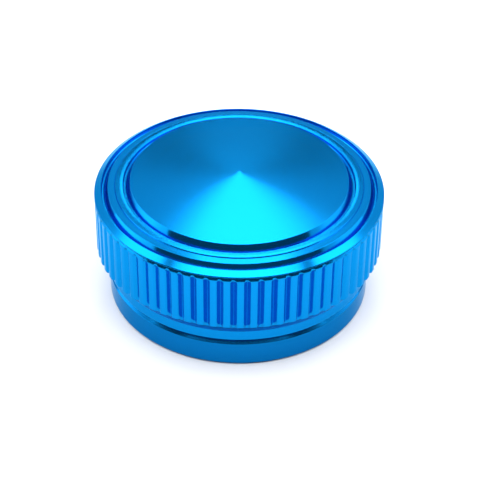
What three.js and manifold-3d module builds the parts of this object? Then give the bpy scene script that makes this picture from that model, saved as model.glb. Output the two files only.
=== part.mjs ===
// A hand-turned pill crusher: a turned cup with a ribbed lid, both of blue anodised aluminium.
// Steel pins stand in the floor of the cup and hang from the ceiling of the lid, on circles that
// pass between each other, so turning the lid grinds what lies in the chamber. A nylon ring on the
// neck of the cup lets the lid turn freely, and a magnet in each half holds them together.
// Millimetres, +Z up, origin at the centre of the underside.

import * as THREE from 'three';
import { mergeGeometries, mergeVertices } from 'three/addons/utils/BufferGeometryUtils.js';
import Module from 'manifold-3d';

const wasm = await Module();
wasm.setup();

// Driving dimensions
const RADIUS = 25;
const SEGMENTS = 72;
const CHAMBER_RADIUS = 18.9;
const RUNNING_GAP = 0.5;
const SEAT_GAP = 0.05;

// Cup
const CUP_RADIUS = 22.9;
const CUP_SHOULDER_Z = 4.95;
const CUP_EDGE = 0.35;
const CUP_CHAMFER = 0.5;
const FOOT_RADIUS = 20;
const FOOT_RECESS = 0.5;
const NECK_RADIUS = 20.5;
const NECK_TOP_Z = 13;
const NECK_EDGE = 0.3;
const FLOOR_Z = 3;

// Lid, its skirt below the ribs and its ribbed rim
const SKIRT_RADIUS = 23;
const SKIRT_BORE_RADIUS = 20.9;
const SKIRT_BOTTOM_Z = CUP_SHOULDER_Z + RUNNING_GAP;
const SKIRT_EDGE = 0.25;
const SKIRT_TOP_Z = 7.4;
const SHELF_RADIUS = 24.1;
const SHELF_BOTTOM_Z = 9.2;
const RIM_BOTTOM_Z = 9.75;
const RIM_TOP_Z = 20.4;
const CEILING_Z = 18;

// Turned top of the lid: chamfer, outer groove, sloping land, bead, inner groove and cone. The
// inner wall of each groove slopes.
const CHAMFER_RADIUS = 23.8;
const CHAMFER_TOP_Z = 21.2;
const GROOVE_WALL_RUN = 0.75;
const OUTER_GROOVE_Z = 20.3;
const LAND_RADIUS = 22.6;
const LAND_OUTER_Z = 21.4;
const LAND_INNER_Z = 21.55;
const BEAD_OUTER_RADIUS = 21.4;
const BEAD_INNER_RADIUS = 20;
const BEAD_TOP_Z = 21.7;
const BEAD_EDGE = 0.25;
const INNER_GROOVE_Z = 21.1;
const CONE_RADIUS = 18.75;
const CONE_EDGE_Z = 22.4;
const CONE_TOP_Z = 23.6;

// Ribs, made by V-shaped flutes cut up the rim from its overhang to a fine relief groove. The shift
// is the share of a rib's spacing that the first rib lies past the X axis.
const RIB_COUNT = 70;
const RIB_SHIFT = 0.685;
const FLUTE_DEPTH = 0.76;
const FLUTE_MOUTH = 1;
const FLUTE_TOP_Z = 19.6;
const RELIEF_DEPTH = 0.35;
const RELIEF_ROOT_Z = 19.98;
const RELIEF_TOP_Z = 20.3;

// Nylon ring between the neck and the lid
const RING_OUTER_RADIUS = 20.4;
const RING_INNER_RADIUS = 19;
const RING_THICKNESS = 1;
const RING_BOTTOM_Z = NECK_TOP_Z + SEAT_GAP;
const LEDGE_Z = RING_BOTTOM_Z + RING_THICKNESS + SEAT_GAP;

// Magnets, each sunk flush into the end of a boss
const BOSS_RADIUS = 4.6;
const CUP_BOSS_TOP_Z = 9.9;
const LID_BOSS_BOTTOM_Z = 10.7;
const MAGNET_RADIUS = 3;
const MAGNET_THICKNESS = 2;
const MAGNET_SEGMENTS = 48;
const POCKET_RADIUS = MAGNET_RADIUS + SEAT_GAP;
const POCKET_DEPTH = MAGNET_THICKNESS + 2 * SEAT_GAP;

// Pins, each pressed into a blind hole
const PIN_RADIUS = 1.1;
const PIN_SEGMENTS = 12;
const PIN_REACH = 12.6;
const PIN_SOCKET_DEPTH = 1.6;
const PIN_LENGTH = PIN_REACH + PIN_SOCKET_DEPTH - SEAT_GAP;
const CUP_PIN_CIRCLES = [{ radius: 7.6, count: 5 }, { radius: 13.8, count: 9 }];
const LID_PIN_CIRCLES = [{ radius: 10.7, count: 7 }, { radius: 16.9, count: 10 }];

// Materials

const blueAnodisedAluminium = new THREE.MeshStandardMaterial({
  color: 0x0a93e6,
  metalness: 1,
  roughness: 0.3,
});

const groundSteel = new THREE.MeshStandardMaterial({
  color: 0xb9bcbf,
  metalness: 1,
  roughness: 0.25,
});

const nickelPlate = new THREE.MeshStandardMaterial({
  color: 0xd2cec6,
  metalness: 1,
  roughness: 0.12,
});

const whiteNylon = new THREE.MeshStandardMaterial({
  color: 0xe9e7df,
  metalness: 0,
  roughness: 0.5,
});

// Solid modelling

function toSolid(geometry) {
  const bare = geometry.clone();
  bare.deleteAttribute('normal');
  bare.deleteAttribute('uv');
  const merged = mergeVertices(bare);
  const corners = merged.index.array;
  const kept = [];
  for (let i = 0; i < corners.length; i += 3) {
    const [a, b, c] = corners.slice(i, i + 3);
    if (a !== b && b !== c && c !== a) {
      kept.push(a, b, c);
    }
  }
  return new wasm.Manifold(new wasm.Mesh({
    numProp: 3,
    vertProperties: merged.attributes.position.array,
    triVerts: new Uint32Array(kept),
  }));
}

function toGeometry(solid) {
  const { vertProperties, triVerts } = solid.getMesh();
  const geometry = new THREE.BufferGeometry();
  geometry.setAttribute('position', new THREE.BufferAttribute(vertProperties, 3));
  geometry.setIndex(new THREE.BufferAttribute(triVerts, 1));
  geometry.computeVertexNormals();
  return geometry;
}

// A profile of [radius, height] points turned round the Z axis. The outer wall runs upwards.
function turned(profile) {
  const points = profile.map(([radius, height]) => new THREE.Vector2(radius, height));
  return toSolid(new THREE.LatheGeometry(points, SEGMENTS).rotateX(Math.PI / 2));
}

// A cylinder that stands on z = 0.
function rod(radius, length, segments) {
  const geometry = new THREE.CylinderGeometry(radius, radius, length, segments);
  return geometry.rotateX(Math.PI / 2).translate(0, 0, length / 2);
}

// Evenly spaced places on each circle, half a spacing away from the X axis.
function placesOn(circles) {
  return circles.flatMap(({ radius, count }) => Array.from({ length: count }, (_, i) => {
    const angle = (i + 0.5) * 2 * Math.PI / count;
    return { angle, x: radius * Math.cos(angle), y: radius * Math.sin(angle) };
  }));
}

// The blind holes that the pins are pressed into, from z = bottom to z = bottom + depth.
function pinSockets(circles, bottom, depth) {
  const socket = rod(PIN_RADIUS + SEAT_GAP, depth, PIN_SEGMENTS);
  const sockets = placesOn(circles).map(({ angle, x, y }) => (
    socket.clone().rotateZ(angle).translate(x, y, bottom)
  ));
  return toSolid(mergeGeometries(sockets));
}

// Cup

function baseCup() {
  const cup = turned([
    [0, FOOT_RECESS],
    [FOOT_RADIUS, FOOT_RECESS],
    [FOOT_RADIUS + FOOT_RECESS, 0],
    [CUP_RADIUS - CUP_EDGE, 0],
    [CUP_RADIUS, CUP_EDGE],
    [CUP_RADIUS, CUP_SHOULDER_Z - CUP_CHAMFER],
    [CUP_RADIUS - CUP_CHAMFER, CUP_SHOULDER_Z],
    [NECK_RADIUS, CUP_SHOULDER_Z],
    [NECK_RADIUS, NECK_TOP_Z - NECK_EDGE],
    [NECK_RADIUS - NECK_EDGE, NECK_TOP_Z],
    [CHAMBER_RADIUS, NECK_TOP_Z],
    [CHAMBER_RADIUS, FLOOR_Z],
    [BOSS_RADIUS, FLOOR_Z],
    [BOSS_RADIUS, CUP_BOSS_TOP_Z],
    [POCKET_RADIUS, CUP_BOSS_TOP_Z],
    [POCKET_RADIUS, CUP_BOSS_TOP_Z - POCKET_DEPTH],
    [0, CUP_BOSS_TOP_Z - POCKET_DEPTH],
  ]);
  const open = FLOOR_Z - PIN_SOCKET_DEPTH;
  return toGeometry(cup.subtract(pinSockets(CUP_PIN_CIRCLES, open, 2 * PIN_SOCKET_DEPTH)));
}

// Lid

// One flute of the rim, a three-sided prism that runs past the rim outwards and down.
function flute() {
  const outline = new THREE.Shape([
    new THREE.Vector2(RADIUS - FLUTE_DEPTH, 0),
    new THREE.Vector2(RADIUS + FLUTE_DEPTH, -FLUTE_MOUTH),
    new THREE.Vector2(RADIUS + FLUTE_DEPTH, FLUTE_MOUTH),
  ]);
  const height = FLUTE_TOP_Z - SHELF_BOTTOM_Z;
  const prism = new THREE.ExtrudeGeometry(outline, { depth: height, bevelEnabled: false });
  return prism.translate(0, 0, SHELF_BOTTOM_Z);
}

// All the flutes, each midway between two ribs.
function flutes() {
  const prism = flute();
  const prisms = Array.from({ length: RIB_COUNT }, (_, i) => (
    prism.clone().rotateZ((i + RIB_SHIFT + 0.5) * 2 * Math.PI / RIB_COUNT)
  ));
  return toSolid(mergeGeometries(prisms));
}

function lidShell() {
  const lid = turned([
    [0, LID_BOSS_BOTTOM_Z + POCKET_DEPTH],
    [POCKET_RADIUS, LID_BOSS_BOTTOM_Z + POCKET_DEPTH],
    [POCKET_RADIUS, LID_BOSS_BOTTOM_Z],
    [BOSS_RADIUS, LID_BOSS_BOTTOM_Z],
    [BOSS_RADIUS, CEILING_Z],
    [CHAMBER_RADIUS, CEILING_Z],
    [CHAMBER_RADIUS, LEDGE_Z],
    [SKIRT_BORE_RADIUS, LEDGE_Z],
    [SKIRT_BORE_RADIUS, SKIRT_BOTTOM_Z],
    [SKIRT_RADIUS - SKIRT_EDGE, SKIRT_BOTTOM_Z],
    [SKIRT_RADIUS, SKIRT_BOTTOM_Z + SKIRT_EDGE],
    [SKIRT_RADIUS, SKIRT_TOP_Z],
    [SHELF_RADIUS, SHELF_BOTTOM_Z],
    [SHELF_RADIUS, RIM_BOTTOM_Z],
    [RADIUS, RIM_BOTTOM_Z],
    [RADIUS, FLUTE_TOP_Z],
    [RADIUS - RELIEF_DEPTH, RELIEF_ROOT_Z],
    [RADIUS, RELIEF_TOP_Z],
    [RADIUS, RIM_TOP_Z],
    [CHAMFER_RADIUS, CHAMFER_TOP_Z],
    [CHAMFER_RADIUS, OUTER_GROOVE_Z],
    [LAND_RADIUS + GROOVE_WALL_RUN, OUTER_GROOVE_Z],
    [LAND_RADIUS, LAND_OUTER_Z],
    [BEAD_OUTER_RADIUS, LAND_INNER_Z],
    [BEAD_OUTER_RADIUS - BEAD_EDGE, BEAD_TOP_Z],
    [BEAD_INNER_RADIUS + BEAD_EDGE, BEAD_TOP_Z],
    [BEAD_INNER_RADIUS, BEAD_TOP_Z - BEAD_EDGE],
    [BEAD_INNER_RADIUS, INNER_GROOVE_Z],
    [CONE_RADIUS + GROOVE_WALL_RUN, INNER_GROOVE_Z],
    [CONE_RADIUS, CONE_EDGE_Z],
    [0, CONE_TOP_Z],
  ]);
  const open = CEILING_Z - PIN_SOCKET_DEPTH;
  const sockets = pinSockets(LID_PIN_CIRCLES, open, 2 * PIN_SOCKET_DEPTH);
  return toGeometry(lid.subtract(flutes()).subtract(sockets));
}

// Ring, magnets and pins

function glideRing() {
  return toGeometry(turned([
    [RING_INNER_RADIUS, 0],
    [RING_OUTER_RADIUS, 0],
    [RING_OUTER_RADIUS, RING_THICKNESS],
    [RING_INNER_RADIUS, RING_THICKNESS],
    [RING_INNER_RADIUS, 0],
  ]));
}

function addPiece(group, name, geometry, material, z) {
  const piece = new THREE.Mesh(geometry, material);
  piece.name = name;
  piece.position.z = z;
  group.add(piece);
  return piece;
}

function addPins(group, prefix, circles, bottom) {
  const pin = rod(PIN_RADIUS, PIN_LENGTH, PIN_SEGMENTS);
  placesOn(circles).forEach(({ angle, x, y }, i) => {
    const number = String(i + 1).padStart(2, '0');
    const piece = addPiece(group, `${prefix}_${number}`, pin, groundSteel, bottom);
    piece.position.set(x, y, bottom);
    piece.rotation.z = angle;
  });
}

// Assembly

const magnet = rod(MAGNET_RADIUS, MAGNET_THICKNESS, MAGNET_SEGMENTS);

function cupGroup() {
  const group = new THREE.Group();
  addPiece(group, 'base_cup', baseCup(), blueAnodisedAluminium, 0);
  const magnetBottom = CUP_BOSS_TOP_Z - SEAT_GAP - MAGNET_THICKNESS;
  addPiece(group, 'base_magnet', magnet, nickelPlate, magnetBottom);
  addPins(group, 'base_pin', CUP_PIN_CIRCLES, FLOOR_Z + PIN_REACH - PIN_LENGTH);
  return group;
}

function lidGroup() {
  const group = new THREE.Group();
  addPiece(group, 'lid_shell', lidShell(), blueAnodisedAluminium, 0);
  addPiece(group, 'lid_magnet', magnet, nickelPlate, LID_BOSS_BOTTOM_Z + SEAT_GAP);
  addPins(group, 'lid_pin', LID_PIN_CIRCLES, CEILING_Z - PIN_REACH);
  return group;
}

const pillCrusher = new THREE.Group();
pillCrusher.add(cupGroup());
addPiece(pillCrusher, 'glide_ring', glideRing(), whiteNylon, RING_BOTTOM_Z);
pillCrusher.add(lidGroup());

export default pillCrusher;
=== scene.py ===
"""A two-part pill crusher of blue anodised aluminium: a ribbed lid that turns on a shallow cup.

Every piece is a turned surface worked out from its outline. Lengths are in millimetres until a
mesh is written.
"""
import math

import bpy
import numpy as np
from mathutils import Matrix, Vector


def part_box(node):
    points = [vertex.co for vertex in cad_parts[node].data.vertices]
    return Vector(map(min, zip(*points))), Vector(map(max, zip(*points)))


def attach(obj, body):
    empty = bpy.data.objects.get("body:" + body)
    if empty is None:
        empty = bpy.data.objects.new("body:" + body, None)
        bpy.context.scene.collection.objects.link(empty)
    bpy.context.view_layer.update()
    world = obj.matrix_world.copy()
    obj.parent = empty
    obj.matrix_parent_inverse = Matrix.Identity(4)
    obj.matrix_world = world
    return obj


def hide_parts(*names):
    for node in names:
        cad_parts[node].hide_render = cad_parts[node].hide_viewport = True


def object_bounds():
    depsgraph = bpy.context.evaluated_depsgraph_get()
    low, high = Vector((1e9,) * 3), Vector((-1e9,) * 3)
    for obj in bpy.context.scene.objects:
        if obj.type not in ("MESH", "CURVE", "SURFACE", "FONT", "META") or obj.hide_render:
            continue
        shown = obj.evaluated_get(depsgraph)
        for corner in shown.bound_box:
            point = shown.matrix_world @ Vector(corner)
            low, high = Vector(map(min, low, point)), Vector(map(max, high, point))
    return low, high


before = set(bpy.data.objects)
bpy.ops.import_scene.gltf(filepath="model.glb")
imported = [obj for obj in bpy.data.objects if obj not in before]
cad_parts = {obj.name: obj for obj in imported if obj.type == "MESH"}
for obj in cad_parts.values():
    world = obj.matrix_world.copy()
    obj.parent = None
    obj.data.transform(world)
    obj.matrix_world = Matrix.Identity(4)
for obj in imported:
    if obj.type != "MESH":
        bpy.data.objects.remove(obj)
cad_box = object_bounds()

MM = 0.001

# The lid's turned top, from the middle outwards. The inner wall of each groove slopes.
TIP_RADIUS = 0.35
TIP_FILLET = 0.3
CONE_RADIUS = 18.75
CONE_EDGE_Z = 22.4
INNER_GROOVE_Z = 21.1
GROOVE_WALL_RUN = 0.75
GROOVE_CORNER = 0.15
BEAD_INNER_RADIUS = 20.0
BEAD_OUTER_RADIUS = 21.4
BEAD_TOP_Z = 21.7
BEAD_CROWN = 0.03
BEAD_CROWN_FILLET = 5.0
BEAD_EDGE = 0.1
SCRIBE_DEPTH = 0.1
SCRIBE_WIDTH = 0.1
SCRIBE_EDGE = 0.03
LAND_INNER_Z = 21.55
LAND_OUTER_Z = 21.4
OUTER_GROOVE_RADIUS = 22.6
OUTER_GROOVE_Z = 20.3
OUTER_GROOVE_CORNER = 0.25
CHAMFER_RADIUS = 23.8
CHAMFER_TOP_Z = 21.2
CREST_EDGE = 0.08
SHOULDER_Z = 20.4
SHOULDER_FILLET = 0.2

# The lid's ribbed rim, from the relief groove above the ribs down to the shelf under them. The
# shift is the share of a rib's pitch that the first rib lies past the X axis.
RELIEF_DEPTH = 0.35
RELIEF_HEIGHT = 0.7
RELIEF_ROOT = 0.55 * RELIEF_HEIGHT
RELIEF_START = 0.01
RELIEF_EDGE = 0.04
RIB_COUNT = 70
RIB_SHIFT = 0.685
RIB_END_EDGE = 0.2
RIB_FOOT_HEIGHT = 1.0
FLUTE_DEPTH = 0.8
FLUTE_MOUTH = 1.12
FLUTE_EDGE = 0.12
FLUTE_ROOT = 0.04
FLUTE_TOP_Z = 19.6
FLUTE_RUN_OUT = 0.5
RIM_BOTTOM_Z = 9.75
SHELF_RADIUS = 24.1
SHELF_BOTTOM_Z = 9.2

# The lid's skirt and inside
SKIRT_RADIUS = 23.0
SKIRT_TOP_Z = 7.4
SKIRT_TOP_FILLET = 0.3
SKIRT_EDGE = 0.2
SKIRT_BORE_RADIUS = 20.9
SKIRT_BORE_EDGE = 0.25
LEDGE_CORNER = 0.15
CEILING_Z = 18.0

# The cup
FOOT_RADIUS = 20.0
FOOT_RECESS = 0.5
FOOT_EDGE = 0.6
CUP_SHOULDER_Z = 4.95
CUP_CHAMFER = 0.5
NECK_RADIUS = 20.5
FLOOR_Z = 3.0

# Both halves
CHAMBER_RADIUS = 18.9
CHAMBER_CORNER = 0.8
BOSS_RADIUS = 4.6
BOSS_ROOT = 0.6
BOSS_EDGE = 0.3
POCKET_GAP = 0.05
FINE_EDGE = 0.1

# Ring, magnets and pins
RING_CLEARANCE = 0.1
RING_EDGE = 0.2
MAGNET_EDGE = 0.25
PIN_BEVEL = 0.32
PIN_PRESSED_BEVEL = 0.1
PIN_DOME = 0.08
PIN_WALL_FILLET = 0.15

# How finely the surfaces are drawn. The rib steps are shares of a rib's pitch from its crest to the
# middle of the next flute.
ARC_STEPS = 4
FLAT_MARGIN = 0.04
RIB_STEPS = np.array([0, 0.17, 0.21, 0.24, 0.265, 0.29, 0.33, 0.40, 0.46, 0.485])
RUN_OUT_ROWS = 8
COLUMNS_PER_RIB = 4
PIN_COLUMNS = 32


# Outlines and turned surfaces

def rounded(corners, steps=ARC_STEPS):
    """The outline through corners of (radius, height, fillet), rounded by arcs tangent to the walls.

    An arc swings the radius vector from one tangent point to the other: (sin((1 - s) a) e0 +
    sin(s a) e1) / sin a, for s from 0 to 1, where a is the angle that the outline turns by. A point
    a little way outside each end of the arc keeps the walls beside it flat. The first and the last
    corner stay sharp.
    """
    corners = np.array(corners, float)
    points, fillets = corners[:, :2], corners[1:-1, 2:]
    walls = np.diff(points, axis=0)
    lengths = np.linalg.norm(walls, axis=1, keepdims=True)
    walls = walls / lengths
    before, after = walls[:-1], walls[1:]
    turn = np.arccos(np.clip(np.sum(before * after, axis=1, keepdims=True), -1, 1))
    reach = fillets * np.tan(turn / 2)
    start, end = points[1:-1] - before * reach, points[1:-1] + after * reach
    inwards = (after - before) / np.linalg.norm(after - before, axis=1, keepdims=True)
    centre = points[1:-1] + inwards * fillets / np.cos(turn / 2)
    share = np.linspace(0, 1, steps + 1)[None, :, None]
    turn = turn[:, :, None]
    from_start = np.sin((1 - share) * turn) * (start - centre)[:, None]
    from_end = np.sin(share * turn) * (end - centre)[:, None]
    arcs = (from_start + from_end) / np.sin(turn) + centre[:, None]
    lead_in = start - before * FLAT_MARGIN
    lead_out = end + after * FLAT_MARGIN
    rows = np.concatenate([lead_in[:, None], arcs, lead_out[:, None]], axis=1).reshape(-1, 2)
    return np.concatenate([points[:1], rows, points[-1:]])


def straight(start, end, count):
    """Points evenly spaced from start to end, both ends included."""
    return np.linspace(start, end, count)


def even_columns(count):
    """Angles evenly spaced round the axis."""
    return np.arange(count) * 2 * math.pi / count


def rib_columns():
    """Angles round the rim, close together on the flanks of each rib and mirrored about its crest."""
    steps = np.concatenate([RIB_STEPS, [0.5], 1 - RIB_STEPS[:0:-1]]) + RIB_SHIFT
    return ((np.arange(RIB_COUNT)[:, None] + steps[None, :]) * 2 * math.pi / RIB_COUNT).ravel()


def band(outline, angles, limit=None, start=0.0):
    """One band of a turned surface: the outline carried round the axis, held within limit's radius.

    Returns the points on a grid of outline rows by angle columns, and the length along the outline
    at each row.
    """
    radius, height = outline[:, :1], outline[:, 1:]
    if limit is not None:
        radius = np.minimum(radius, limit(angles[None, :], height))
    x, y = radius * np.cos(angles), radius * np.sin(angles)
    grid = np.stack([x, y, np.broadcast_to(height, x.shape)], axis=-1)
    steps = np.linalg.norm(np.diff(outline, axis=0), axis=1)
    return grid, start + np.concatenate([[0], np.cumsum(steps)])


def quads(first, rows, columns, along):
    """The faces of a band, closed round the axis.

    The vertex at row i and column j is first + i * columns + j.
    """
    i, j = np.arange(rows - 1)[:, None], np.arange(columns)[None, :]
    k = (j + 1) % columns
    low_row, high_row = first + i * columns, first + (i + 1) * columns
    faces = np.stack([low_row + j, low_row + k, high_row + k, high_row + j], axis=-1)
    low, high = np.broadcast_arrays(along[:-1, None], j)[0], np.broadcast_arrays(along[1:, None], j)[0]
    left, right = np.broadcast_arrays(j / columns, i)[0], np.broadcast_arrays((j + 1) / columns, i)[0]
    uv = np.stack([
        np.stack([low, left], -1), np.stack([low, right], -1),
        np.stack([high, right], -1), np.stack([high, left], -1),
    ], axis=2)
    return faces.reshape(-1, 4), uv.reshape(-1, 4, 2)


def stitch(low_first, low_columns, high_first, high_columns, low_along, high_along):
    """The faces between two rows whose column counts differ by a whole ratio.

    A row of one point gives a fan.
    """
    count = min(n for n in (low_columns, high_columns) if n > 1)

    def side(first, columns, along):
        if columns == 1:
            number = np.full((count, 1), first)
            turn = (np.arange(count)[:, None] + 0.5) / count
        else:
            ratio = columns // count
            step = np.arange(count)[:, None] * ratio + np.arange(ratio + 1)[None, :]
            number = first + step % columns
            turn = step / columns
        return number, np.stack([np.full(turn.shape, along), turn], axis=-1)

    low, low_uv = side(low_first, low_columns, low_along)
    high, high_uv = side(high_first, high_columns, high_along)
    return (
        np.concatenate([low, high[:, ::-1]], axis=1),
        np.concatenate([low_uv, high_uv[:, ::-1]], axis=1),
    )


def turned(name, bands, centre=(0.0, 0.0)):
    """A closed turned piece from its bands, joined end to end.

    Each band is (grid, lengths along the outline). A band of one column is a pole. The UV map
    "turning" runs along the outline in millimetres and once round the axis. The last band joins the
    first unless both ends are poles.
    """
    faces, uvs = [], []
    starts = np.cumsum([0] + [grid.shape[0] * grid.shape[1] for grid, _ in bands])
    for (grid, along), first in zip(bands, starts):
        rows, columns = grid.shape[:2]
        if rows > 1:
            made = quads(first, rows, columns, along)
            faces.append(made[0])
            uvs.append(made[1])
    closing = [] if bands[0][0].shape[1] == 1 else [(len(bands) - 1, 0)]
    for a, b in [(i, i + 1) for i in range(len(bands) - 1)] + closing:
        (low, low_along), (high, high_along) = bands[a], bands[b]
        last_row = starts[a] + (low.shape[0] - 1) * low.shape[1]
        end = high_along[0] if b else low_along[-1] + np.linalg.norm(low[-1, 0] - high[0, 0])
        made = stitch(last_row, low.shape[1], starts[b], high.shape[1], low_along[-1], end)
        faces.append(made[0])
        uvs.append(made[1])
    points = np.concatenate([grid.reshape(-1, 3) for grid, _ in bands])
    points = points + np.array([centre[0], centre[1], 0.0])
    return write_mesh(name, points * MM, faces, uvs)


def write_mesh(name, points, faces, uvs):
    """A smooth-shaded object at the origin, from points in metres and lists of equal-sided faces."""
    mesh = bpy.data.meshes.new(name)
    corners = np.concatenate([f.ravel() for f in faces])
    sides = np.concatenate([np.full(len(f), f.shape[1]) for f in faces])
    mesh.vertices.add(len(points))
    mesh.vertices.foreach_set("co", points.astype(np.float32).ravel())
    mesh.loops.add(len(corners))
    mesh.loops.foreach_set("vertex_index", corners.astype(np.int32))
    mesh.polygons.add(len(sides))
    starts = np.concatenate([[0], np.cumsum(sides)[:-1]])
    mesh.polygons.foreach_set("loop_start", starts.astype(np.int32))
    mesh.polygons.foreach_set("use_smooth", np.ones(len(sides), bool))
    layer = mesh.uv_layers.new(name="turning")
    turns = np.concatenate([uv.reshape(-1, 2) for uv in uvs])
    layer.data.foreach_set("uv", turns.astype(np.float32).ravel())
    mesh.update(calc_edges=True)
    mesh.validate()
    piece = bpy.data.objects.new(name, mesh)
    bpy.context.scene.collection.objects.link(piece)
    return piece


def pole(height, along):
    """A single point on the axis."""
    return np.array([[[0.0, 0.0, height]]]), np.array([along])


def simple_turned(name, corners, columns, centre=(0.0, 0.0)):
    """A turned piece of one band, whose corners end on the axis or run round a closed section."""
    outline = rounded(corners)
    if corners[0][0] > 0:
        return turned(name, [band(outline[:-1], even_columns(columns))], centre)
    grid, along = band(outline[1:-1], even_columns(columns), start=outline[1, 0])
    bottom, top = pole(outline[0, 1], 0.0), pole(outline[-1, 1], along[-1] + outline[-2, 0])
    return turned(name, [bottom, (grid, along), top], centre)


def span(cad_node):
    """A CAD node's lowest and highest corners, in millimetres."""
    low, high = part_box(cad_node)
    return np.array(low) / MM, np.array(high) / MM


def hand_over(piece, body, nodes, material):
    """Gives a finished piece its body, the CAD nodes that it stands for, and its finish."""
    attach(piece, body)
    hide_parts(*nodes)
    piece.data.materials.append(material)


# Pieces

def fluted_radius(rim_radius):
    """How far out the metal reaches between the flutes, as a function of angle and height.

    Each flute is a V, rounded at its root as a hyperbola: depth - slope * (sqrt(x^2 + root^2) - root),
    x being the distance from its middle. The edges of a rib are rounded off in the same way. Up the
    rim the V runs out along a quarter of an ellipse, as the cutter left it.
    """
    half_pitch = math.pi * rim_radius / RIB_COUNT
    slope = 2 * FLUTE_DEPTH / FLUTE_MOUTH

    def limit(angles, heights):
        turns = angles * RIB_COUNT / (2 * math.pi) - RIB_SHIFT
        x = half_pitch * (1 - 2 * np.abs(turns - np.round(turns)))
        rise = np.clip((heights - FLUTE_TOP_Z + FLUTE_RUN_OUT) / FLUTE_RUN_OUT, 0, 1)
        shallower = FLUTE_DEPTH * (1 - np.sqrt(1 - rise * rise))
        v = FLUTE_DEPTH - shallower - slope * (np.sqrt(x * x + FLUTE_ROOT ** 2) - FLUTE_ROOT)
        return rim_radius - 0.5 * (v + np.sqrt(v * v + FLUTE_EDGE ** 2 * (1 - rise)))

    return limit


def make_lid(material):
    """The lid: down from its ceiling and its bore, up the skirt and ribs, and in over the top."""
    low, high = span("lid_shell")
    radius, top, skirt_z = high[0], high[2], low[2]
    magnet_low, magnet_high = span("lid_magnet")
    pocket_radius = magnet_high[0] + POCKET_GAP
    pocket_z = magnet_high[2] + POCKET_GAP
    boss_z = magnet_low[2] - POCKET_GAP
    ledge_z = span("glide_ring")[1][2] + POCKET_GAP

    inside = rounded([
        (0, pocket_z, 0),
        (pocket_radius, pocket_z, FINE_EDGE),
        (pocket_radius, boss_z, FINE_EDGE),
        (BOSS_RADIUS, boss_z, BOSS_EDGE),
        (BOSS_RADIUS, CEILING_Z, BOSS_ROOT),
        (CHAMBER_RADIUS, CEILING_Z, CHAMBER_CORNER),
        (CHAMBER_RADIUS, ledge_z, LEDGE_CORNER),
        (SKIRT_BORE_RADIUS, ledge_z, LEDGE_CORNER),
        (SKIRT_BORE_RADIUS, skirt_z, SKIRT_BORE_EDGE),
        (SKIRT_RADIUS, skirt_z, SKIRT_EDGE),
        (SKIRT_RADIUS, SKIRT_TOP_Z, SKIRT_TOP_FILLET),
        (SHELF_RADIUS, SHELF_BOTTOM_Z, FINE_EDGE),
        (SHELF_RADIUS, RIM_BOTTOM_Z, 0),
    ])[1:-1]
    rib_foot = rounded([
        (SHELF_RADIUS, 0.5 * (SHELF_BOTTOM_Z + RIM_BOTTOM_Z), 0),
        (SHELF_RADIUS, RIM_BOTTOM_Z, 0.5 * FINE_EDGE),
        (radius, RIM_BOTTOM_Z, RIB_END_EDGE),
        (radius, RIM_BOTTOM_Z + RIB_FOOT_HEIGHT, 0),
    ])
    run_out = straight((radius, FLUTE_TOP_Z - FLUTE_RUN_OUT), (radius, FLUTE_TOP_Z), RUN_OUT_ROWS)
    scribe_inner = BEAD_OUTER_RADIUS - SCRIBE_WIDTH
    outside = rounded([
        (radius, FLUTE_TOP_Z + RELIEF_START, 0),
        (radius - RELIEF_DEPTH, FLUTE_TOP_Z + RELIEF_ROOT, RELIEF_EDGE),
        (radius, FLUTE_TOP_Z + RELIEF_HEIGHT, RELIEF_EDGE),
        (radius, SHOULDER_Z, SHOULDER_FILLET),
        (CHAMFER_RADIUS, CHAMFER_TOP_Z, CREST_EDGE),
        (CHAMFER_RADIUS, OUTER_GROOVE_Z, OUTER_GROOVE_CORNER),
        (OUTER_GROOVE_RADIUS + GROOVE_WALL_RUN, OUTER_GROOVE_Z, GROOVE_CORNER),
        (OUTER_GROOVE_RADIUS, LAND_OUTER_Z, CREST_EDGE),
        (BEAD_OUTER_RADIUS + SCRIBE_WIDTH, LAND_INNER_Z, SCRIBE_EDGE),
        (BEAD_OUTER_RADIUS, LAND_INNER_Z - SCRIBE_DEPTH, SCRIBE_EDGE),
        (scribe_inner, BEAD_TOP_Z, 0.5 * BEAD_EDGE),
        (0.5 * (BEAD_INNER_RADIUS + scribe_inner), BEAD_TOP_Z + BEAD_CROWN, BEAD_CROWN_FILLET),
        (BEAD_INNER_RADIUS, BEAD_TOP_Z, BEAD_EDGE),
        (BEAD_INNER_RADIUS, INNER_GROOVE_Z, GROOVE_CORNER),
        (CONE_RADIUS + GROOVE_WALL_RUN, INNER_GROOVE_Z, GROOVE_CORNER),
        (CONE_RADIUS, CONE_EDGE_Z, CREST_EDGE),
        (TIP_RADIUS, top, TIP_FILLET),
        (0, top, 0),
    ])[1:-1]
    rib_angles = rib_columns()
    coarse = rib_angles[::len(rib_angles) // (RIB_COUNT * COLUMNS_PER_RIB)]
    inner = band(inside, coarse, start=inside[0, 0])
    rim = np.concatenate([rib_foot, run_out])
    ribbed = band(rim, rib_angles, limit=fluted_radius(radius), start=inner[1][-1] + FLAT_MARGIN)
    upper = band(outside, coarse, start=ribbed[1][-1] + FLAT_MARGIN)
    tip = pole(top, upper[1][-1] + outside[-1, 0])
    lid = turned("lid", [pole(pocket_z, 0.0), inner, ribbed, upper, tip])
    hand_over(lid, "lid", ["lid_shell"], material)


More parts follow.
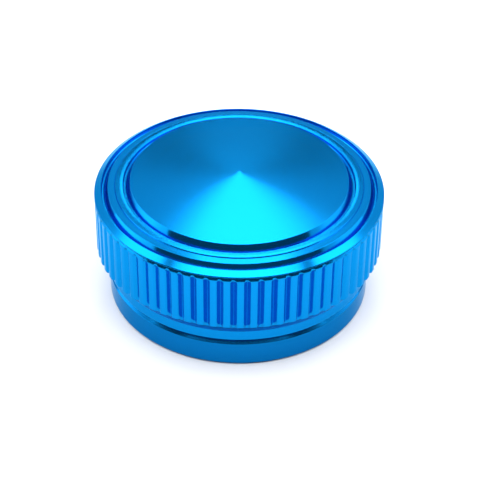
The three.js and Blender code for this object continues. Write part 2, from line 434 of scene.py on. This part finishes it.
def make_cup(material):
    """The cup: recess and rim of the foot, plain wall, shoulder, neck, chamber and magnet boss."""
    low, high = span("base_cup")
    radius, neck_z = high[0], high[2]
    magnet_low, magnet_high = span("base_magnet")
    pocket_radius = magnet_high[0] + POCKET_GAP
    pocket_z = magnet_low[2] - POCKET_GAP
    boss_z = magnet_high[2] + POCKET_GAP
    cup = simple_turned("cup", [
        (0, FOOT_RECESS, 0),
        (FOOT_RADIUS, FOOT_RECESS, 3 * FINE_EDGE),
        (FOOT_RADIUS + FOOT_RECESS, low[2], 2 * FINE_EDGE),
        (radius, low[2], FOOT_EDGE),
        (radius, CUP_SHOULDER_Z - CUP_CHAMFER, FINE_EDGE),
        (radius - CUP_CHAMFER, CUP_SHOULDER_Z, FINE_EDGE),
        (NECK_RADIUS, CUP_SHOULDER_Z, 2 * FINE_EDGE),
        (NECK_RADIUS, neck_z, 3 * FINE_EDGE),
        (CHAMBER_RADIUS, neck_z, 2 * FINE_EDGE),
        (CHAMBER_RADIUS, FLOOR_Z, CHAMBER_CORNER),
        (BOSS_RADIUS, FLOOR_Z, BOSS_ROOT),
        (BOSS_RADIUS, boss_z, BOSS_EDGE),
        (pocket_radius, boss_z, FINE_EDGE),
        (pocket_radius, pocket_z, FINE_EDGE),
        (0, pocket_z, 0),
    ], RIB_COUNT * COLUMNS_PER_RIB)
    hand_over(cup, "base", ["base_cup"], material)


def make_ring(material):
    """The glide ring: a flat nylon washer with softened edges."""
    low, high = span("glide_ring")
    bore = CHAMBER_RADIUS + RING_CLEARANCE
    middle = 0.5 * (low[2] + high[2])
    ring = simple_turned("glide_ring_nylon", [
        (bore, middle, 0),
        (bore, low[2], RING_EDGE),
        (high[0], low[2], RING_EDGE),
        (high[0], high[2], RING_EDGE),
        (bore, high[2], RING_EDGE),
        (bore, middle, 0),
    ], RIB_COUNT * COLUMNS_PER_RIB)
    hand_over(ring, "ring", ["glide_ring"], material)


def make_magnet(cad_node, body, material):
    """A disc magnet with rounded plated edges."""
    low, high = span(cad_node)
    magnet = simple_turned(f"{cad_node}_disc", [
        (0, low[2], 0),
        (high[0], low[2], MAGNET_EDGE),
        (high[0], high[2], MAGNET_EDGE),
        (0, high[2], 0),
    ], RIB_COUNT)
    hand_over(magnet, body, [cad_node], material)


def make_pin(cad_node, body, points_up, material):
    """A ground pin with a bevelled, slightly domed free end and a small bevel on the pressed end."""
    low, high = span(cad_node)
    centre = 0.5 * (low + high)
    radius = 0.5 * min(high[0] - low[0], high[1] - low[1])
    if points_up:
        lower_bevel, upper_bevel = PIN_PRESSED_BEVEL, PIN_BEVEL
        bottom, top = low[2], high[2] - PIN_DOME
    else:
        lower_bevel, upper_bevel = PIN_BEVEL, PIN_PRESSED_BEVEL
        bottom, top = low[2] + PIN_DOME, high[2]
    pin = simple_turned(f"{cad_node}_rod", [
        (0, low[2], 0),
        (radius - lower_bevel, bottom, FINE_EDGE),
        (radius, bottom + lower_bevel, PIN_WALL_FILLET),
        (radius, top - upper_bevel, PIN_WALL_FILLET),
        (radius - upper_bevel, top, FINE_EDGE),
        (0, high[2], 0),
    ], PIN_COLUMNS, centre)
    hand_over(pin, body, [cad_node], material)


# Materials

def linear(code):
    """An sRGB hex colour as linear RGBA."""
    channels = np.array([int(code[i:i + 2], 16) for i in (0, 2, 4)]) / 255
    curved = np.where(channels <= 0.04045, channels / 12.92, ((channels + 0.055) / 1.055) ** 2.4)
    return (*curved, 1.0)


def node(material, kind, settings=None, **links):
    """Adds a node with its settings, and links its inputs: name=value or name=an output socket.

    An input's name is written with underscores for spaces, or as "_0" for the input of that number.
    """
    made = material.node_tree.nodes.new(kind)
    for key, value in (settings or {}).items():
        setattr(made, key, value)
    for key, value in links.items():
        socket = made.inputs[int(key[1:])] if key[0] == "_" else made.inputs[key.replace("_", " ")]
        if isinstance(value, bpy.types.NodeSocket):
            material.node_tree.links.new(value, socket)
        else:
            socket.default_value = value
    return made


def new_material(name):
    """An empty node material."""
    material = bpy.data.materials.new(name)
    material.use_nodes = True
    material.node_tree.nodes.clear()
    return material


def anodised_aluminium(name, deep, bright):
    """Aluminium turned on a lathe and anodised bright blue.

    The dye under clear oxide gives a deep blue mirror colour. The cutter's rings run round the axis,
    so light spreads across them into rays from the middle. The feed shows as fine rings, drawn
    wider apart than the 0.1 mm of a real feed so that they show at all. The edge tint keeps the
    rims blue, where a plain metal would turn white.
    """
    material = new_material(name)
    ring_spacing, ring_relief = 0.8, 0.002
    edge_tint = (0.55, 0.85, 1.0, 1.0)
    uv = node(material, "ShaderNodeUVMap", {"uv_map": "turning"})
    along = node(material, "ShaderNodeSeparateXYZ", _0=uv.outputs[0])
    rings = node(
        material, "ShaderNodeTexNoise", {"noise_dimensions": "1D"},
        W=along.outputs[0], Scale=1 / ring_spacing, Detail=3.0, Roughness=0.6,
    )
    dye = node(
        material, "ShaderNodeMix", {"data_type": "RGBA"},
        _0=rings.outputs[0], _6=linear(deep), _7=linear(bright),
    )
    roughness = node(
        material, "ShaderNodeMapRange", _0=rings.outputs[0], _1=0.2, _2=0.8, _3=0.15, _4=0.17,
    )
    relief = node(
        material, "ShaderNodeBump",
        Strength=0.05, Distance=ring_relief * MM, Height=rings.outputs[0],
    )
    tangent = node(material, "ShaderNodeTangent", {"direction_type": "UV_MAP", "uv_map": "turning"})
    shader = node(
        material, "ShaderNodeBsdfPrincipled",
        Base_Color=dye.outputs[2], Metallic=1.0, Roughness=roughness.outputs[0],
        Specular_Tint=edge_tint, Anisotropic=0.85, Tangent=tangent.outputs[0],
        Normal=relief.outputs[0],
    )
    node(material, "ShaderNodeOutputMaterial", Surface=shader.outputs[0])
    return material


def ground_steel():
    """Stainless rod, centreless ground: a bright grey mirror broken by fine rings round the pin."""
    material = new_material("ground_steel")
    ring_spacing = 0.2
    uv = node(material, "ShaderNodeUVMap", {"uv_map": "turning"})
    along = node(material, "ShaderNodeSeparateXYZ", _0=uv.outputs[0])
    rings = node(
        material, "ShaderNodeTexNoise", {"noise_dimensions": "1D"},
        W=along.outputs[0], Scale=1 / ring_spacing, Detail=3.0,
    )
    tint = node(
        material, "ShaderNodeMix", {"data_type": "RGBA"},
        _0=rings.outputs[0], _6=linear("B4B6B8"), _7=linear("CBCDCE"),
    )
    roughness = node(
        material, "ShaderNodeMapRange", _0=rings.outputs[0], _1=0.2, _2=0.8, _3=0.18, _4=0.3,
    )
    tangent = node(material, "ShaderNodeTangent", {"direction_type": "UV_MAP", "uv_map": "turning"})
    shader = node(
        material, "ShaderNodeBsdfPrincipled",
        Base_Color=tint.outputs[2], Metallic=1.0, Roughness=roughness.outputs[0],
        Anisotropic=0.5, Tangent=tangent.outputs[0],
    )
    node(material, "ShaderNodeOutputMaterial", Surface=shader.outputs[0])
    return material


def nickel_plate():
    """Nickel plating over a sintered magnet: a warm mirror with a faint orange peel from its grain."""
    material = new_material("nickel_plate")
    peel_size, peel_relief = 0.35, 0.02
    place = node(material, "ShaderNodeTexCoord")
    peel = node(
        material, "ShaderNodeTexNoise",
        Vector=place.outputs["Object"], Scale=1 / (peel_size * MM), Detail=2.0,
    )
    tint = node(
        material, "ShaderNodeMix", {"data_type": "RGBA"},
        _0=peel.outputs[0], _6=linear("C9C4BB"), _7=linear("DBD7CF"),
    )
    relief = node(
        material, "ShaderNodeBump",
        Strength=0.15, Distance=peel_relief * MM, Height=peel.outputs[0],
    )
    shader = node(
        material, "ShaderNodeBsdfPrincipled",
        Base_Color=tint.outputs[2], Metallic=1.0, Roughness=0.14, Normal=relief.outputs[0],
    )
    node(material, "ShaderNodeOutputMaterial", Surface=shader.outputs[0])
    return material


def white_nylon():
    """Moulded nylon: milky, slightly translucent and satin, with a trace of mould texture."""
    material = new_material("white_nylon")
    grain_size, grain_relief, scatter_depth = 0.4, 0.02, 0.4
    place = node(material, "ShaderNodeTexCoord")
    grain = node(
        material, "ShaderNodeTexNoise",
        Vector=place.outputs["Object"], Scale=1 / (grain_size * MM), Detail=4.0,
    )
    tint = node(
        material, "ShaderNodeMix", {"data_type": "RGBA"},
        _0=grain.outputs[0], _6=linear("E4E1D8"), _7=linear("F0EEE7"),
    )
    roughness = node(
        material, "ShaderNodeMapRange", _0=grain.outputs[0], _1=0.3, _2=0.7, _3=0.42, _4=0.55,
    )
    relief = node(
        material, "ShaderNodeBump",
        Strength=0.1, Distance=grain_relief * MM, Height=grain.outputs[0],
    )
    shader = node(
        material, "ShaderNodeBsdfPrincipled",
        Base_Color=tint.outputs[2], Roughness=roughness.outputs[0], IOR=1.53,
        Subsurface_Weight=0.3, Subsurface_Scale=scatter_depth * MM, Normal=relief.outputs[0],
    )
    node(material, "ShaderNodeOutputMaterial", Surface=shader.outputs[0])
    return material


def pale_floor():
    """A matt white table top with a very faint unevenness."""
    material = new_material("pale_floor")
    patches_per_metre = 30.0
    place = node(material, "ShaderNodeTexCoord")
    grain = node(
        material, "ShaderNodeTexNoise",
        Vector=place.outputs["Object"], Scale=patches_per_metre, Detail=4.0,
    )
    tint = node(
        material, "ShaderNodeMix", {"data_type": "RGBA"},
        _0=grain.outputs[0], _6=linear("F8F8F7"), _7=linear("FBFBFA"),
    )
    shader = node(material, "ShaderNodeBsdfPrincipled", Base_Color=tint.outputs[2], Roughness=0.9)
    node(material, "ShaderNodeOutputMaterial", Surface=shader.outputs[0])
    return material


# Assembly

def make_pieces():
    """Every piece of the crusher, on its body."""
    lid_blue = anodised_aluminium("blue_anodised_aluminium", "0680C8", "0784CD")
    # The cup's copy of the anodised blue is painted darker than the lid's. This is painted shade: it
    # stands in for the shadowed floor near the foot, which the cup's wall reflects.
    cup_blue_painted_shade = anodised_aluminium("blue_anodised_aluminium_painted_shade", "066FB2", "0773B7")
    steel, nickel, nylon = ground_steel(), nickel_plate(), white_nylon()
    make_cup(cup_blue_painted_shade)
    make_lid(lid_blue)
    make_ring(nylon)
    make_magnet("base_magnet", "base", nickel)
    make_magnet("lid_magnet", "lid", nickel)
    for name in sorted(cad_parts):
        if name.startswith("base_pin"):
            make_pin(name, "base", True, steel)
        elif name.startswith("lid_pin"):
            make_pin(name, "lid", False, steel)


# Stage, lights and camera

def make_floor():
    """A large flat floor under the foot."""
    half, z = 3.0, cad_box[0].z
    mesh = bpy.data.meshes.new("floor")
    corners = [(-half, -half, z), (half, -half, z), (half, half, z), (-half, half, z)]
    mesh.from_pydata(corners, [], [(0, 1, 2, 3)])
    floor = bpy.data.objects.new("floor", mesh)
    floor.data.materials.append(pale_floor())
    bpy.context.scene.collection.objects.link(floor)


def softbox(name, azimuth, elevation, width, height, radiance):
    """A rectangular lamp that faces the crusher.

    Azimuth 0 is in front, 90 at the right and 180 behind. The width and the height are the angles,
    in degrees, that the lamp takes up as seen from the crusher.
    """
    distance = 1.5
    lamp = bpy.data.lights.new(name, "AREA")
    lamp.shape = "RECTANGLE"
    lamp.size = 2 * distance * math.tan(math.radians(width / 2))
    lamp.size_y = 2 * distance * math.tan(math.radians(height / 2))
    lamp.energy = radiance * math.pi * lamp.size * lamp.size_y
    holder = bpy.data.objects.new(name, lamp)
    turn, rise = math.radians(azimuth), math.radians(elevation)
    away = Vector((math.sin(turn) * math.cos(rise), -math.cos(turn) * math.cos(rise), math.sin(rise)))
    holder.location = Vector((0, 0, cad_box[1].z)) + away * distance
    holder.rotation_euler = away.to_track_quat("Z", "Y").to_euler()
    bpy.context.scene.collection.objects.link(holder)


def make_room():
    """A pale, slightly cool room, dark in front, where the camera stands, and brighter overhead.

    A dark flag stands low down behind. The directions are unit vectors, so a blend over Y runs from
    the front to the back, and one over Z runs up to the zenith.
    """
    front, back, overhead = 0.12, 0.97, 0.45
    front_edge, back_edge = -0.25, 0.05
    ceiling_edge, ceiling_full = 0.75, 0.95
    flag_elevation, flag_inner, flag_outer, flag_share = 30.0, 3.0, 11.0, 0.05
    room_colour = (0.95, 0.97, 1.04, 1)
    world = bpy.data.worlds.new("room")
    world.use_nodes = True
    place = node(world, "ShaderNodeTexCoord")
    direction = node(world, "ShaderNodeSeparateXYZ", _0=place.outputs["Generated"])
    depth = node(
        world, "ShaderNodeMapRange", {"interpolation_type": "SMOOTHSTEP"},
        _0=direction.outputs["Y"], _1=front_edge, _2=back_edge, _3=front, _4=back,
    )
    height = node(
        world, "ShaderNodeMapRange", {"interpolation_type": "SMOOTHSTEP"},
        _0=direction.outputs["Z"], _1=ceiling_edge, _2=ceiling_full, _3=0.0, _4=overhead,
    )
    rise = math.radians(flag_elevation)
    nearness = node(
        world, "ShaderNodeVectorMath", {"operation": "DOT_PRODUCT"},
        _0=place.outputs["Generated"], _1=(0, math.cos(rise), math.sin(rise)),
    )
    flag = node(
        world, "ShaderNodeMapRange", {"interpolation_type": "SMOOTHSTEP"},
        _0=nearness.outputs["Value"], _1=math.cos(math.radians(flag_outer)),
        _2=math.cos(math.radians(flag_inner)), _3=1.0, _4=flag_share,
    )
    strength = node(
        world, "ShaderNodeMath", {"operation": "MULTIPLY_ADD"},
        _0=depth.outputs[0], _1=flag.outputs[0], _2=height.outputs[0],
    )
    background = world.node_tree.nodes["Background"]
    world.node_tree.links.new(strength.outputs[0], background.inputs["Strength"])
    background.inputs["Color"].default_value = room_colour
    bpy.context.scene.world = world


def make_lights():
    """The lamps and the room.

    A strip and a small low lamp stand behind, a ceiling lamp hangs towards the front, and each side
    has a high and a low lamp.
    """
    softbox("strip", 179, 48.5, 12, 17, 3.9)
    softbox("kicker", 180, 34.5, 4, 4, 6.9)
    softbox("ceiling", 0, 70, 60, 21, 4.6)
    softbox("left_lamp", -110, 49, 52, 22, 2.8)
    softbox("right_lamp", 110, 49, 52, 22, 3.0)
    softbox("low_left_lamp", -93, 12, 45, 24, 1.8)
    softbox("low_right_lamp", 93, 12, 45, 24, 1.0)
    make_room()
    bpy.context.scene.view_settings.view_transform = "Standard"


def make_camera():
    """A long lens from the front, looking down on the lid."""
    lens, sensor = 120.0, 36.0
    distance, elevation, look_down, roll = 275.8, 35.43, 37.45, 0.61
    side_step = 0.22
    camera = bpy.data.cameras.new("camera")
    camera.lens, camera.sensor_width = lens, sensor
    camera.clip_start, camera.clip_end = 0.01, 20
    holder = bpy.data.objects.new("camera", camera)
    rise = math.radians(elevation)
    back, up = distance * math.cos(rise), distance * math.sin(rise)
    place = Matrix.Translation(Vector((side_step, -back, CHAMFER_TOP_Z + up)) * MM)
    tilt = Matrix.Rotation(math.radians(90 - look_down), 4, "X")
    turn = Matrix.Rotation(math.radians(roll), 4, "Z")
    holder.matrix_world = place @ tilt @ turn
    bpy.context.scene.collection.objects.link(holder)
    bpy.context.scene.camera = holder


make_camera()
make_pieces()
make_floor()
make_lights()
